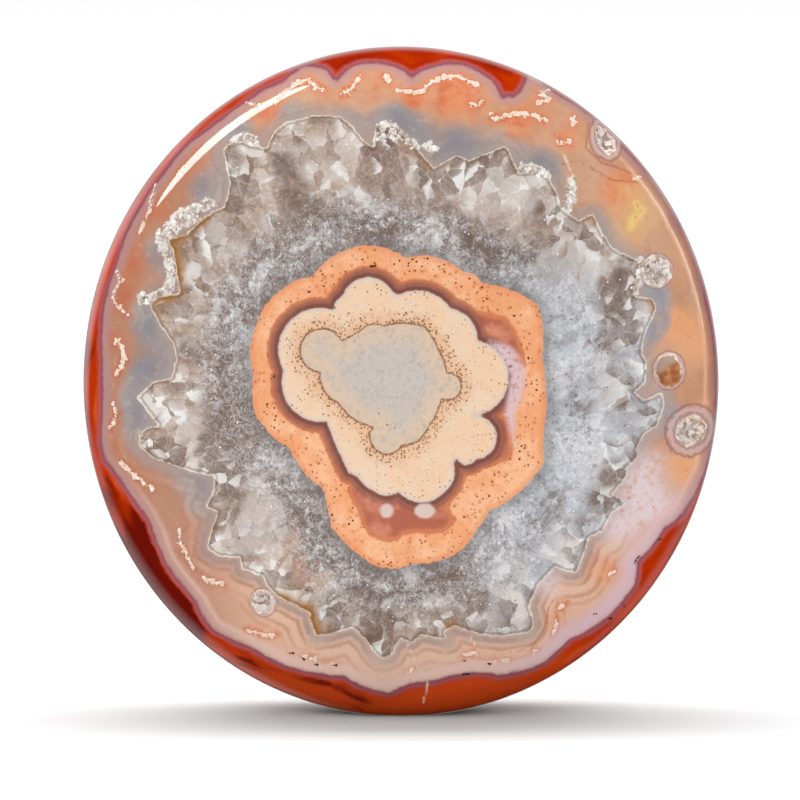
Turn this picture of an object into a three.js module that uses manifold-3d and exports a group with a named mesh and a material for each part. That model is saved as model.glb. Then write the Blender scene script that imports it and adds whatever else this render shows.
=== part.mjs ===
// A polished banded agate: one solid pebble of stone, ground to a smooth oval dome on both faces and standing
// upright on a small flat spot at its lowest point. A few natural crystal pockets break its polished front.
// Units are millimetres, +Z is up, the front face looks along -Y, and the origin is the centre of the flat spot.
import * as THREE from "three";
import { mergeVertices } from "three/addons/utils/BufferGeometryUtils.js";
import Module from "manifold-3d";

const STONE_WIDTH = 76.2;
const STONE_HEIGHT = 80.2; // from the flat spot to the top
const STONE_THICKNESS = 31.0;
const DOME_POWER = 2.4; // 2 is a true ellipsoid, and more gives a flatter face with a rounder edge
const FOOT_GRIND = 0.4; // how much was ground off the bottom to make the flat spot
const OUTLINE_SEGMENTS = 80;
const DOME_RINGS = 15; // from the middle of one face to the edge

// Each pocket was left by a quartz crystal that fell out: where it opens on the front face, right of and above the
// outline's centre, how wide it is at its mouth, how long it is for its width, and how it is turned.
const POCKETS = [
  { right: 34.6, up: -5.0, width: 3.4, stretch: 1.0, turn: 15 },
  { right: 31.9, up: 2.4, width: 2.9, stretch: 1.35, turn: 10 },
  { right: 30.4, up: 14.2, width: 3.2, stretch: 1.1, turn: 40 },
  { right: 24.4, up: 29.6, width: 1.9, stretch: 1.8, turn: 25 },
  { right: -16.4, up: -25.2, width: 2.5, stretch: 1.15, turn: 5 },
];
const POCKET_DEPTH = 0.9;
const POCKET_FLOOR_SHARE = 0.6; // the floor's width over the mouth's
const POCKET_SIDES = 6; // quartz crystals are six-sided
const CUTTER_RISE = 0.8; // how far a cutter stands out of the surface

const AGATE_COLOUR = new THREE.Color(0.74, 0.45, 0.34);
const AGATE_ROUGHNESS = 0.12;

const halfWidth = STONE_WIDTH / 2;
const halfHeight = (STONE_HEIGHT + FOOT_GRIND) / 2; // of the whole oval, before its foot was ground
const halfThickness = STONE_THICKNESS / 2;
const centreHeight = halfHeight - FOOT_GRIND;

// The dome's section: out is the share of the outline's radius, and depth the distance from the middle plane.
function domeSection(angle) {
  const power = 2 / DOME_POWER;
  return {
    out: Math.sin(angle) ** power,
    depth: halfThickness * Math.cos(angle) ** power,
  };
}

// The whole oval, spun about the axis through the middles of its two faces and stretched to its outline.
function pebbleGeometry() {
  const profile = [new THREE.Vector2(0, -halfThickness)];
  for (let ring = 1; ring <= DOME_RINGS; ring++) {
    const { out, depth } = domeSection((ring / DOME_RINGS) * (Math.PI / 2));
    profile.push(new THREE.Vector2(out, ring === DOME_RINGS ? 0 : -depth));
  }
  for (let ring = DOME_RINGS - 1; ring >= 0; ring--) {
    const front = profile[ring];
    profile.push(new THREE.Vector2(front.x, -front.y));
  }
  const pebble = new THREE.LatheGeometry(profile, OUTLINE_SEGMENTS);
  pebble.scale(halfWidth, 1, halfHeight);
  pebble.translate(0, 0, centreHeight);
  return pebble;
}

// The flat spot is ground by a slab whose upper face is the ground plane.
function grinderGeometry() {
  const slab = new THREE.BoxGeometry(STONE_WIDTH, STONE_WIDTH, 10);
  slab.translate(0, 0, -5);
  return slab;
}

// The point of the front face right of and above the outline's centre, and the face's outward normal there.
function frontPoint(right, up) {
  const share = Math.hypot(right / halfWidth, up / halfHeight);
  const depth = halfThickness * (1 - share ** DOME_POWER) ** (1 / DOME_POWER);
  const slope = share ** (DOME_POWER - 2);
  const normal = new THREE.Vector3(
    (slope * right) / halfWidth ** 2,
    -((depth / halfThickness) ** (DOME_POWER - 1)) / halfThickness,
    (slope * up) / halfHeight ** 2,
  ).normalize();
  return { point: new THREE.Vector3(right, -depth, centreHeight + up), normal };
}

// A six-sided cutter that narrows towards its floor, set square to the surface.
function pocketCutter({ right, up, width, stretch, turn }) {
  const floorRadius = (width / 2) * POCKET_FLOOR_SHARE;
  const flare = (width / 2 - floorRadius) / POCKET_DEPTH;
  const length = POCKET_DEPTH + CUTTER_RISE;
  const cutter = new THREE.CylinderGeometry(
    floorRadius + flare * length,
    floorRadius,
    length,
    POCKET_SIDES,
  );
  cutter.translate(0, length / 2 - POCKET_DEPTH, 0);
  cutter.scale(1, 1, stretch);
  cutter.rotateY(THREE.MathUtils.degToRad(turn));
  const { point, normal } = frontPoint(right, up);
  const outwards = new THREE.Quaternion().setFromUnitVectors(
    new THREE.Vector3(0, 1, 0),
    normal,
  );
  cutter.applyQuaternion(outwards);
  cutter.translate(point.x, point.y, point.z);
  return cutter;
}

const wasm = await Module();
wasm.setup();

function solidOf(geometry) {
  const bare = geometry.clone();
  bare.deleteAttribute("normal");
  bare.deleteAttribute("uv");
  const merged = mergeVertices(bare, 1e-4);
  return new wasm.Manifold(
    new wasm.Mesh({
      numProp: 3,
      vertProperties: merged.attributes.position.array,
      triVerts: new Uint32Array(merged.index.array),
    }),
  );
}

function geometryOf(solid) {
  const { vertProperties, triVerts } = solid.getMesh();
  const geometry = new THREE.BufferGeometry();
  geometry.setAttribute(
    "position",
    new THREE.BufferAttribute(vertProperties, 3),
  );
  geometry.setIndex(new THREE.BufferAttribute(triVerts, 1));
  geometry.computeVertexNormals();
  return geometry;
}

function agateStone() {
  let stone = solidOf(pebbleGeometry()).subtract(solidOf(grinderGeometry()));
  for (const pocket of POCKETS) {
    stone = stone.subtract(solidOf(pocketCutter(pocket)));
  }
  const polished = new THREE.MeshStandardMaterial({
    color: AGATE_COLOUR,
    roughness: AGATE_ROUGHNESS,
    metalness: 0,
  });
  const mesh = new THREE.Mesh(geometryOf(stone), polished);
  mesh.name = "agate_stone";
  return mesh;
}

const agate = new THREE.Group();
agate.add(agateStone());

export default agate;
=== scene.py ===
import math

import bpy
import numpy as np
from mathutils import Matrix, Vector


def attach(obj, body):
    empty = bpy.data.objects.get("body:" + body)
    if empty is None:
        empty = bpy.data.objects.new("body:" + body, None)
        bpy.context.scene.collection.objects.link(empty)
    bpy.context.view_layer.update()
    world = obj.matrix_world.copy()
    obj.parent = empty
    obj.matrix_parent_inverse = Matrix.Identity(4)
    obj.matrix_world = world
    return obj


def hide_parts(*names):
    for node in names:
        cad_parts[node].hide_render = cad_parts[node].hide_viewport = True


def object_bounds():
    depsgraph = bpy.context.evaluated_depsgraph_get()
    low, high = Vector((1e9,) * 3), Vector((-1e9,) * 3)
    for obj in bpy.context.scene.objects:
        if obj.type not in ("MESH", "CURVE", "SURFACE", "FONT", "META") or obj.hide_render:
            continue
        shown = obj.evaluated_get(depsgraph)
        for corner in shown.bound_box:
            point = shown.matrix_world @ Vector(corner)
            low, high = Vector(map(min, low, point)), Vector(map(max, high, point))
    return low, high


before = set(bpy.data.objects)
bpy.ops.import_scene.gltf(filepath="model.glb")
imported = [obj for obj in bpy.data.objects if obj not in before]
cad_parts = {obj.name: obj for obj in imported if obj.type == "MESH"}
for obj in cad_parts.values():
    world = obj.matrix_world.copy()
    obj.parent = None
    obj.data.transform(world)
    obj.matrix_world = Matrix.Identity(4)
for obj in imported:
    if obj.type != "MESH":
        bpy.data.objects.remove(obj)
cad_low, cad_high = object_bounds()

# The pebble: one piece of banded agate, ground and polished to a smooth oval dome on both faces, with a small
# flat spot at its lowest point. Its surface follows one rule: the share of the outline's radius and the share
# of the half thickness, each to the dome's power, add up to one.
MM = 0.001
DOME_POWER = 2.4
FOOT_GRIND = 0.4 * MM  # ground off the bottom to make the flat spot
CELLS_ACROSS = 220  # of the mesh, on each face
SEAM_MERGE = 0.002 * MM
CORNER_EASE = 3  # how evenly the mesh's corners are drawn out into the round outline

half_width = (cad_high.x - cad_low.x) / 2
half_thickness = (cad_high.y - cad_low.y) / 2
half_height = (cad_high.z - cad_low.z + FOOT_GRIND) / 2
centre_height = half_height - FOOT_GRIND


class Field:
    """What one output of a node carries, such as a number or a place, to be worked with like a number."""

    def __init__(self, tree, socket):
        self.tree = tree
        self.socket = socket

    def sum(self, operation, *others):
        """One step of arithmetic."""
        return take(self.tree, "ShaderNodeMath", dict(enumerate((self, *others))), operation=operation)

    def __add__(self, other):
        return self.sum("ADD", other)

    def __sub__(self, other):
        return self.sum("SUBTRACT", other)

    def __rsub__(self, other):
        return take(self.tree, "ShaderNodeMath", {0: other, 1: self}, operation="SUBTRACT")

    def __mul__(self, other):
        return self.sum("MULTIPLY", other)

    def __truediv__(self, other):
        return self.sum("DIVIDE", other)

    def __rtruediv__(self, other):
        return take(self.tree, "ShaderNodeMath", {0: other, 1: self}, operation="DIVIDE")

    def __pow__(self, other):
        return self.sum("POWER", other)

    def __neg__(self):
        return self * -1

    def __abs__(self):
        return self.sum("ABSOLUTE")

    def at_least(self, other):
        return self.sum("MAXIMUM", other)

    def vector(self, operation, *others, output=0):
        """One step of arithmetic with places or directions."""
        inputs = dict(enumerate((self, *others)))
        return take(self.tree, "ShaderNodeVectorMath", inputs, output, operation=operation)

    def scaled(self, factor):
        return take(self.tree, "ShaderNodeVectorMath", {0: self, 3: factor}, operation="SCALE")

    def split(self):
        """How far right, deep and high a place is."""
        parts = place(self.tree, "ShaderNodeSeparateXYZ", {0: self}).outputs
        return [Field(self.tree, part) for part in parts]


def place(tree, kind, inputs=None, **choices):
    """Adds one node, makes its choices, and fills its inputs with values or with other nodes' outputs."""
    made = tree.nodes.new(kind)
    for name, choice in choices.items():
        setattr(made, name, choice)
    for name, value in (inputs or {}).items():
        if isinstance(value, Field):
            tree.links.new(value.socket, made.inputs[name])
        else:
            made.inputs[name].default_value = value
    return made


def take(tree, kind, inputs=None, output=0, **choices):
    """One output of a new node."""
    return Field(tree, place(tree, kind, inputs, **choices).outputs[output])


def joined(right, depth, height):
    """The place that three numbers give."""
    return take(right.tree, "ShaderNodeCombineXYZ", {0: right, 1: depth, 2: height})


def new_tree(name, kind, inputs, outputs):
    """A node tree with named inputs and outputs, and what its inputs bring in."""
    tree = bpy.data.node_groups.new(name, kind)
    for way, sockets in (("INPUT", inputs), ("OUTPUT", outputs)):
        for label, socket in sockets.items():
            tree.interface.new_socket(label, in_out=way, socket_type=socket)
    return tree, {socket.name: Field(tree, socket) for socket in tree.nodes.new("NodeGroupInput").outputs}


def grown(name, tree, values, start=None):
    """The plain mesh that a tree of geometry nodes makes, as an object of its own."""
    holder = bpy.data.objects.new(name + "_holder", start or bpy.data.meshes.new(name + "_start"))
    bpy.context.scene.collection.objects.link(holder)
    modifier = holder.modifiers.new("grow", "NODES")
    modifier.node_group = tree
    for item in tree.interface.items_tree:
        if item.item_type == "SOCKET" and item.in_out == "INPUT" and item.name in values:
            modifier[item.identifier] = values[item.name]
    evaluated = holder.evaluated_get(bpy.context.evaluated_depsgraph_get())
    mesh = bpy.data.meshes.new_from_object(evaluated)
    bpy.data.objects.remove(holder)
    mesh.name = name
    piece = bpy.data.objects.new(name, mesh)
    bpy.context.scene.collection.objects.link(piece)
    return piece


def dome_tree(sizes):
    """Two square grids, each drawn out into one face of the pebble and joined at its rim."""
    inputs = dict.fromkeys(sizes, "NodeSocketFloat") | {"Cells": "NodeSocketInt"}
    tree, given = new_tree("pebble_dome", "GeometryNodeTree", inputs, {"Pebble": "NodeSocketGeometry"})
    corners = given["Cells"] + 1
    grid_inputs = {"Size X": 2.0, "Size Y": 2.0, "Vertices X": corners, "Vertices Y": corners}
    grid = take(tree, "GeometryNodeMeshGrid", grid_inputs, "Mesh")
    spot = take(tree, "GeometryNodeInputPosition")
    across, along, _ = spot.split()
    ring = abs(across).at_least(abs(along))
    share = 1 - (1 - ring) * (1 - ring**CORNER_EASE)
    rise = (1 - share ** given["Dome Power"]).at_least(0) ** (1 / given["Dome Power"])
    depth = rise * given["Half Thickness"]
    heading_right, heading_up, _ = spot.vector("NORMALIZE").split()
    right = heading_right * share * given["Half Width"]
    up = heading_up * share * given["Half Height"]
    height = (up + given["Centre Height"]).at_least(0)
    faces = [
        take(tree, "GeometryNodeSetPosition", {"Geometry": grid, "Position": joined(right, level, height)})
        for level in (-depth, depth)
    ]
    faces[1] = take(tree, "GeometryNodeFlipFaces", {0: faces[1]})
    join = place(tree, "GeometryNodeJoinGeometry")
    for face in faces:
        tree.links.new(face.socket, join.inputs[0])
    both_faces = Field(tree, join.outputs[0])
    closed = take(tree, "GeometryNodeMergeByDistance", {"Geometry": both_faces, "Distance": given["Seam"]})
    smooth = take(tree, "GeometryNodeSetShadeSmooth", {0: closed})
    place(tree, "NodeGroupOutput", {0: take(tree, "GeometryNodeRealizeInstances", {0: smooth})})
    return tree


dome_sizes = {
    "Half Width": half_width,
    "Half Height": half_height,
    "Half Thickness": half_thickness,
    "Centre Height": centre_height,
    "Dome Power": DOME_POWER,
    "Cells": CELLS_ACROSS,
    "Seam": SEAM_MERGE,
}
agate = grown("banded_agate", dome_tree(dome_sizes), dome_sizes)

# The bands: layers of agate round the middle of the stone. Each is one closed line or several, given as seen
# from the front, right of and above the outline's centre in millimetres. A corner's third number is how far
# the stretch after it bulges outwards, as an arc. All run clockwise.
BANDS = {
    "cream": [[
        (-8, 8.5, 0.3), (-6.9, 10.2, 2), (-1, 10.6), (-0.3, 10.3, 1.2), (5.9, 8.7, 0.9), (9.1, 4.9, 3.9),
        (8.6, -4, 2.6), (8.9, -9.2, 0.7), (6.6, -9.1), (6.2, -9.6, 0.6), (5.2, -13, 1), (0.3, -13.6),
        (-0.3, -13.1, 0.5), (-3.3, -12.9, 0.2), (-5.2, -11.2), (-6.2, -10.8, 0.1), (-8.8, -4.7, 2.2),
        (-13.9, 1.3, 3.2),
    ]],
    "brick": [[
        (7.5, 8.2, 0.3), (11, 7.9, 0.5), (13.4, 6.1, 0.4), (14.6, 2), (12, -1), (7, 3),
    ], [
        (8.6, -2.5), (12.6, -4.2, 0.2), (13.1, -7.6, 0.6), (12, -9.4, 0.2), (8, -10.5, 0.2),
        (6.3, -13.5, 0.1), (5.5, -15, 0.1), (6.5, -16.3, 0.4), (4, -18, -0.1), (0.3, -18),
        (-0.5, -18.8, 0.3), (-3.5, -18.3, 0.3), (-5, -15.3, 0.1), (-6.3, -12.8), (-5, -10.5),
    ]],
    "bead": [
        [(-2.6, -15.3, 0.95), (-0.8, -15.3, 0.95)], [(1.4, -15.3, 1), (4.2, -15.3, 1)],
    ],
    "heart": [[
        (-7, 4.6, 0.1), (-5, 5.8, 0.6), (-2, 6.5, 0.5), (3, 6.3, 0.1), (4.9, 2.6), (5.4, 1, 2),
        (4.8, -1.9, 0.2), (2.7, -6.1, 0.4), (0.1, -7.4, 1.5), (-3.6, -6.6, 0.4), (-2.8, -5.4, 0.6),
        (-7.4, -2.4, 0.7), (-9.5, 1.2, 3.9),
    ]],
    "island": [[
        (-10.7, 12.4, 0.6), (-5, 16.1, 0.5), (0.6, 14.7, 0.9), (7.2, 13.1, 0.4), (9.7, 11.6, 0.6),
        (16.2, 9, 0.4), (16.7, 3, 0.3), (17.1, -4.5, -0.15), (17, -9.5, 0.7), (10.5, -15.3, 0.1),
        (7.3, -19.9, 0.5), (1.5, -21.6, 0.6), (-3.5, -21.6, 0.3), (-8.3, -17.2, -0.1), (-9.3, -12.6, 0.5),
        (-13.1, -8, 0.5), (-17.4, -3.5, 0.2), (-17.5, 1, 0.6), (-17, 7, 0.5), (-14, 11, 0.3),
    ]],
    "lilac": [[
        (10.4, 4.8, 0.1), (13, 4.1, 0.2), (14.8, 1, 0.2), (13.6, -3.5), (13.4, -8), (12.4, -3.6),
        (13, 0.9),
    ]],
    "quartz": [[
        (-30, 9.2), (-29, 10.1), (-26.3, 10.5), (-27.1, 15.5), (-27.8, 16.9), (-25.5, 17.5), (-24, 19),
        (-22.3, 20.3), (-21, 20.8), (-20.3, 23.5), (-21.2, 27.5, 0.4), (-19, 28.6), (-15.9, 27.7, 0.3),
        (-14.5, 30.2, 0.3), (-12, 31.2, 0.4), (-7, 31.4, 0.2), (-4.7, 28.9), (-3.2, 27.7), (-3, 30.2),
        (-2, 31), (-0.4, 29.9), (1, 28.8), (2.3, 27.2), (3.9, 25.3), (6.5, 26.9), (8, 26.3), (10, 27),
        (12.2, 28, 0.2), (13.2, 26.5), (14, 24.8), (16, 25, 0.3), (18, 23.5, 0.1), (19, 20.6), (21, 19.2),
        (22.8, 20), (23.8, 17.8), (25.3, 15.8), (28.6, 14.3), (28.2, 11.8), (27.6, 10.3), (29.8, 9.9, 0.2),
        (30.4, 8.6), (29, 5.6), (28.6, 3.6), (29.3, 2.2), (29.1, -0.2), (27.8, -1.2), (28.8, -2.2),
        (31, -1.2, 0.2), (31.3, -3), (30.5, -5.3), (29, -6.2), (28, -8), (28.4, -8.8), (26.8, -10.3),
        (27.1, -11.1), (25.2, -13.3), (26.8, -14.5), (25, -15.8), (24, -17.8), (22.4, -18.5),
        (21.8, -20.6), (21, -22.6, 0.3), (18.4, -22), (16.4, -24.2), (15.3, -26.6), (15.8, -28.5, 0.3),
        (15.2, -29.9), (12, -30.4), (9.5, -30.1), (6.3, -29.1), (5.2, -29.8), (5.6, -30.8), (2.4, -30.2),
        (1.3, -31.1), (-0.2, -30.6), (-1, -32.5, 0.2), (-2.5, -32.9, 0.2), (-4, -31), (-5.7, -29.3),
        (-8.5, -30.1), (-10.1, -30.3, 0.2), (-10.9, -27.5), (-14.8, -25.5), (-15.9, -24.5), (-16.4, -23.2),
        (-19, -22.3), (-19.2, -20.9), (-21.5, -20.9), (-23.1, -19.9, 0.1), (-22.2, -16.4), (-21.8, -15.5),
        (-23.3, -14.9), (-22.3, -12.8), (-22.2, -11.2), (-25, -10.7), (-29.5, -9.1), (-31.3, -7.5, 0.2),
        (-30.3, -5.4), (-28.8, -5.2), (-30.6, -2.9), (-31.5, -1.8), (-29.5, 0), (-27.3, 0.5), (-26.7, 2.7),
        (-27.1, 4.6), (-28.5, 6.5),
    ]],
    "red": [[
        (-35.9, -7, 0.1), (-35.6, -1, 0.1), (-35.8, 8, 0.1), (-34.2, 13.5, 0.9), (-26.4, 27.5, 0.6),
        (-13.9, 35.9), (-12.2, 37.4, 0.9), (-7.7, 35.9, 2.2), (1.3, 36.2, 2.8), (12.1, 34, 0.2),
        (13.4, 34.1, -0.2), (15.3, 36.5, 0.3), (24.3, 30.7, 0.3), (31, 23, 0.3), (35.6, 13.7, 0.3),
        (37.75, 3.5, 0.3), (37.3, -6.9, 0.1), (36.4, -11), (35.4, -12.9), (34, -15.6, 0.2),
        (31.5, -17.6, 0.2), (28.4, -21.5, 0.2), (28, -24.3, 0.1), (25, -28.1, 0.2), (20.3, -30.8),
        (17.5, -33.4, 0.3), (12, -35.2), (8.4, -34.8), (3.2, -35.9, -0.2), (-1.5, -37.3, 0.3),
        (-6.8, -35.4, 0.2), (-14, -34), (-18, -31.9), (-22.4, -29.8, 0.3), (-24.5, -26.3, 0.2),
        (-28.3, -21.3), (-30.3, -16.5), (-33.5, -11.8), (-35.3, -9.5),
    ]],
}
MAUVE_MARGIN = 1.25  # how far the brick colour reaches round the cream
ARC_STEP = 0.6  # between the points of an arc

# Soft places where a tint is stronger: right, up and reach in millimetres, and strength. They are warm, cool
# and blushing chalcedony, dark skin, rust at the quartz's edge, and pale, smoky and amber quartz.
TINTED_PLACES = {
    "warm": [
        (6.5, 34, 3.2, 1), (-3, 35.2, 2.5, 0.5), (1.5, 33.6, 1.4, 0.9), (14, 30.8, 2.5, 0.7),
        (26, 22.8, 2.8, 1), (20, 29, 2, 0.7), (35.5, 5, 4, 0.9), (34, -10.3, 2.8, 1), (32, 7, 1.6, 1),
        (-25, 26.5, 3.2, 0.6), (-32, 14, 2.6, 0.7), (-33.6, 10, 1.8, 0.8), (-34.3, 5, 1.5, 0.7),
        (-34.6, -8, 1.6, 0.6), (-16, 32, 2.2, 0.6), (24, -22.5, 2.8, 0.6), (-29, 21, 2.2, 0.8),
        (37.5, -3, 2, 1), (34.5, 16, 2.5, 0.7),
    ],
    "cool": [
        (6, 29.5, 4.5, 1), (0, 31.5, 2.4, 0.8), (-5, 31.5, 2, 0.3), (-30.5, 2, 3.2, 1),
        (-32, -4, 2.5, 0.9), (-24.5, -13, 2.6, 0.8), (-30.8, 7, 2.2, 0.9), (17, 26.5, 2.8, 0.9),
        (24.5, 17, 2.2, 0.6), (30.4, 7, 2, 1), (-24, 23.5, 2.6, 0.9), (-29.8, 14.5, 2.4, 0.8),
        (-19.5, 31, 2, 0.8), (30.6, 11, 1.4, 1), (-13, 33, 2, 0.4), (32.5, -4.5, 1.5, 0.5),
    ],
    "blush": [
        (28.5, -12, 2.6, 0.9), (29, -15.5, 2.6, 0.8), (25.8, -17.5, 2.2, 0.8), (30, -9.5, 1.6, 0.6),
        (31.5, -14.5, 2, 0.6), (17.5, -24, 1.6, 0.8),
    ],
    "dark_skin": [
        (-33.5, -13, 3.5, 1), (-30.5, -18.5, 4, 1.2), (-28, -23.5, 3.5, 1.2), (-24.5, -28, 3, 1),
        (-19, -32.8, 2, 0.4), (-5, -38.6, 2, 0.4), (37, -12.5, 1.6, 0.4), (-37, 3, 4, 0.55),
        (-36.4, 10.5, 3, 0.5), (-37.2, -5, 3.5, 0.5),
    ],
    "rust": [
        (-28.2, 9.6, 1.6, 1), (-26.6, 13, 2.4, 1), (-26.4, 16.5, 1.6, 1), (-23.6, 19.2, 1.4, 0.9),
        (-14, -25.8, 1.4, 1), (-11.5, -27, 1.4, 1), (-10.2, -29, 1.4, 1.2), (3.6, 26, 1, 0.9),
        (0.8, 28.4, 1, 0.6), (6, -29, 0.9, 0.8), (22.4, 19.4, 1.2, 0.7), (29.6, 9.2, 1, 0.9),
    ],
    "pale": [
        (14.5, 22.5, 4, 1), (20, 14, 3.5, 0.7), (21, 3, 4.5, 0.8), (27, -5, 4, 1), (-16, -16, 4, 0.9),
        (-8, 28, 4, 0.5), (4, 19, 3.5, 0.5), (22, -13, 4, 0.8), (14, -22, 4, 0.6), (-26, -4, 4, 0.7),
        (-19, -19, 3.5, 0.6), (-3, -27, 3, 0.3), (-23, 13, 3, 0.5), (10, 24, 2.5, 0.6), (-18, 24, 3, 0.4),
        (-24, 7, 3, 0.5), (17.5, 10.5, 3.6, 1), (20.5, 14.5, 2.5, 0.8), (19, -9.5, 4, 0.6),
        (-22, 18, 2.5, 0.7), (-14, 28, 2, 0.5), (23, 13, 2, 0.6), (-9, 24.5, 3, 0.5),
    ],
    "smoky": [
        (-21, -9, 3.5, 1), (-19.5, -4.5, 4, 1), (1, 22.5, 3, 0.4), (25.5, 9, 2.5, 1), (25, -11, 2, 1),
        (-14, 26, 2, 0.7), (-12, 21, 3, 0.4), (-21, 4, 3.5, 0.5), (15.5, 19.5, 2, 0.5), (26.5, 12, 2, 0.8),
        (-8, -27, 2.5, 0.8), (-20, -13.5, 2.5, 0.5), (-16.5, 16, 4, 0.6), (-10.5, 19, 3.5, 0.5),
        (24, 4.5, 1.5, 0.7), (9, -27, 2, 0.6), (5, -24, 3, 0.4), (-13.5, 6, 2.5, 0.4), (8, -25, 2, 0.7),
        (-25, 3.5, 2, 0.5),
    ],
    "amber": [
        (-13, -21.5, 2.6, 0.8), (-10, -24, 2, 0.6), (-12.5, -17.5, 1.5, 0.5), (-19, 14, 1.5, 0.3),
        (-14.5, 11.5, 1.3, 0.5), (-10.5, 17.5, 1.2, 0.5), (-6, 16, 1.2, 0.4), (0, 20, 1.5, 0.3),
    ],
}

# Open lines that flakes, crusts of small crystals, a yellow stain, cracks and fine dark lines follow.
RUNS = {
    "flakes": [
        [(-18.5, 33.3), (-16.8, 32.8), (-15.3, 33.1), (-14, 34.2), (-12.2, 35.8), (-11, 36)],
        [(-11, 36), (-10, 35), (-9, 34.6)], [(-7, 34.2), (-6, 34.7), (-4.9, 36.4)],
        [(-2, 36.5), (-1.4, 35.8)],
        [
            (-0.6, 34.8), (1, 34.4), (2.5, 34.6), (3.6, 35.6), (5, 36.3), (7, 36.3), (8.3, 35.7),
            (9.2, 35.2),
        ],
        [(8.4, 33), (9.2, 32.8), (9.8, 33.5)],
        [(10.6, 31.7), (11, 31.2), (13, 31.6), (14.2, 31.9), (16, 31.7), (17.3, 30.9)],
        [(16.2, 33.2), (17.6, 33.6), (16.6, 34.6), (17.8, 34.8)], [(20.5, 31.5), (20.6, 30.7)],
        [(18.7, 28.7), (19.4, 28.4), (20, 28.6)], [(27.7, 24.2), (28.3, 24.3)],
        [(-25.5, 25.9), (-26.6, 24.7)], [(-29.3, 23.5), (-30.3, 19.5)], [(-30.4, 19.2), (-31.1, 18)],
        [(-33.9, 13.3), (-33.4, 12), (-34.2, 11), (-34.4, 10), (-33.3, 8.7), (-32.6, 8)],
        [(-33.9, 5), (-33.2, 4), (-32.9, 2.7), (-33.9, 0.8)], [(-34.3, -2.6), (-34, -4), (-34.8, -5.5)],
        [(-33.3, -9.5), (-32, -10.9), (-29.7, -12.7)],
        [(-26.5, -17.6), (-26.4, -18.6), (-25.6, -20.5), (-24.8, -22.1)],
        [(-23.5, -23.4), (-22, -23.9), (-21.3, -24)], [(-18.4, -29.7), (-16.8, -30), (-15.2, -30.2)],
        [(-11.7, -32.6), (-10.3, -33.1)], [(-8.8, -33.6), (-8, -33.7)], [(0.7, -34.8), (1.3, -34.4)],
        [(7.7, -32.6), (8.8, -32.4)], [(10.7, -33.3), (12.6, -33.3)], [(15.7, -32.5), (16.2, -32.1)],
        [(18.3, -29.8), (18.6, -29), (18.4, -28.4)], [(19, -27), (19.3, -26.6)],
        [(24.9, -22.9), (25.3, -22.6)],
    ],
    "crust": [
        [(-22.6, 21.2), (-24.4, 20.7), (-26.2, 19.8), (-27.8, 18.3), (-28.6, 17), (-27.9, 15.4)],
        [(-24.4, 19.7), (-26, 18.8), (-27.4, 17.6)],
        [(-27.6, 14.6), (-27.3, 12.6), (-27.6, 11), (-28.8, 10.3), (-30.2, 9.6), (-30.8, 10.2)],
        [(-19.6, 28.7), (-18.2, 28.9), (-17.2, 28.2)],
        [(-2.6, 28.6), (-2.4, 30.2), (-1.4, 30.4), (-0.4, 29.4), (0.6, 28.6), (1.4, 27.9)],
        [(-1.6, 29.4), (-0.6, 28.6)], [(3.2, 27.9), (3.6, 27.5)], [(19.7, 20.6), (20.2, 22), (20.4, 23.8)],
        [(30.4, 14.6), (31.4, 13.4), (30.6, 12.2), (29.8, 13.2)],
        [(-31, -6.4), (-30.2, -7.6), (-29.4, -6.8)], [(14.6, 25.4), (16, 25.2), (17.2, 24.4)],
        [(28.4, 14.4), (28.2, 12.6), (27.6, 10.8)],
    ],
    "yellow": [
        [(28, 21.2), (28.6, 20.4), (27.6, 19.3), (27.2, 18.3)],
    ],
    "crack": [
        [(0.8, -31.3), (1.5, -32.6), (1.9, -33.9), (2.8, -35.1), (3.2, -36), (2.7, -38.3)],
        [(8.2, -30.3), (9, -31.6), (9, -32.8)], [(19.3, 27), (20.5, 24.3)],
    ],
    "fine_line": [
        [(12, -32.3), (13.6, -32.2), (15, -31.8), (16.2, -30.9), (17, -29.5), (17.4, -28.2), (17.5, -27)],
        [(17.5, -27), (18, -26.2), (19, -25.6)],
        [(22.3, 30.9), (22, 27.9), (23.8, 26.1), (25.6, 25.6), (27.6, 24.8)],
        [(19, 25.8), (21, 26.3), (22.8, 25.3), (25.1, 24), (28.1, 23.8)],
    ],
}

# The bands are given as they are seen from a little above the stone. The back is cut at another level of the
# stone, so they are smaller there, turned and wavy.
SEEN_FROM_ABOVE = math.radians(6)
BACK_SHRINK = 0.22
BACK_TURN = math.radians(28)
BACK_WAVE = 0.8
BACK_WAVE_LENGTH = 9.0
BACK_SETTLED = 0.65  # the share of the half thickness past which the turn is whole
BACK_EASE = 0.7  # how much of the turn eases in and out
RIM_WAVE = 0.5  # how far the red skin's edge wanders where it runs along the rim
RIM_WAVE_REACH = 4.0

corners = np.empty(len(agate.data.vertices) * 3)
agate.data.vertices.foreach_get("co", corners)
corners = corners.reshape(-1, 3)
level = corners[:, 1] / MM  # in front of the middle plane it is below zero
front_right = corners[:, 0] / MM
front_up = (corners[:, 2] - centre_height) / MM
seen_up = front_up * math.cos(SEEN_FROM_ABOVE) - np.abs(level) * math.sin(SEEN_FROM_ABOVE)
behind = np.clip(corners[:, 1] / half_thickness / BACK_SETTLED, 0, 1)
behind = behind * behind * (3 - 2 * behind) * BACK_EASE + behind * (1 - BACK_EASE)
turn = BACK_TURN * behind
band_right = (1 + BACK_SHRINK * behind) * (front_right * np.cos(turn) - seen_up * np.sin(turn))
band_up = (1 + BACK_SHRINK * behind) * (front_right * np.sin(turn) + seen_up * np.cos(turn))
band_right += BACK_WAVE * behind * np.sin(band_up * math.tau / BACK_WAVE_LENGTH)
band_up += BACK_WAVE * behind * np.sin(band_right * math.tau / BACK_WAVE_LENGTH + 1)


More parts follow.
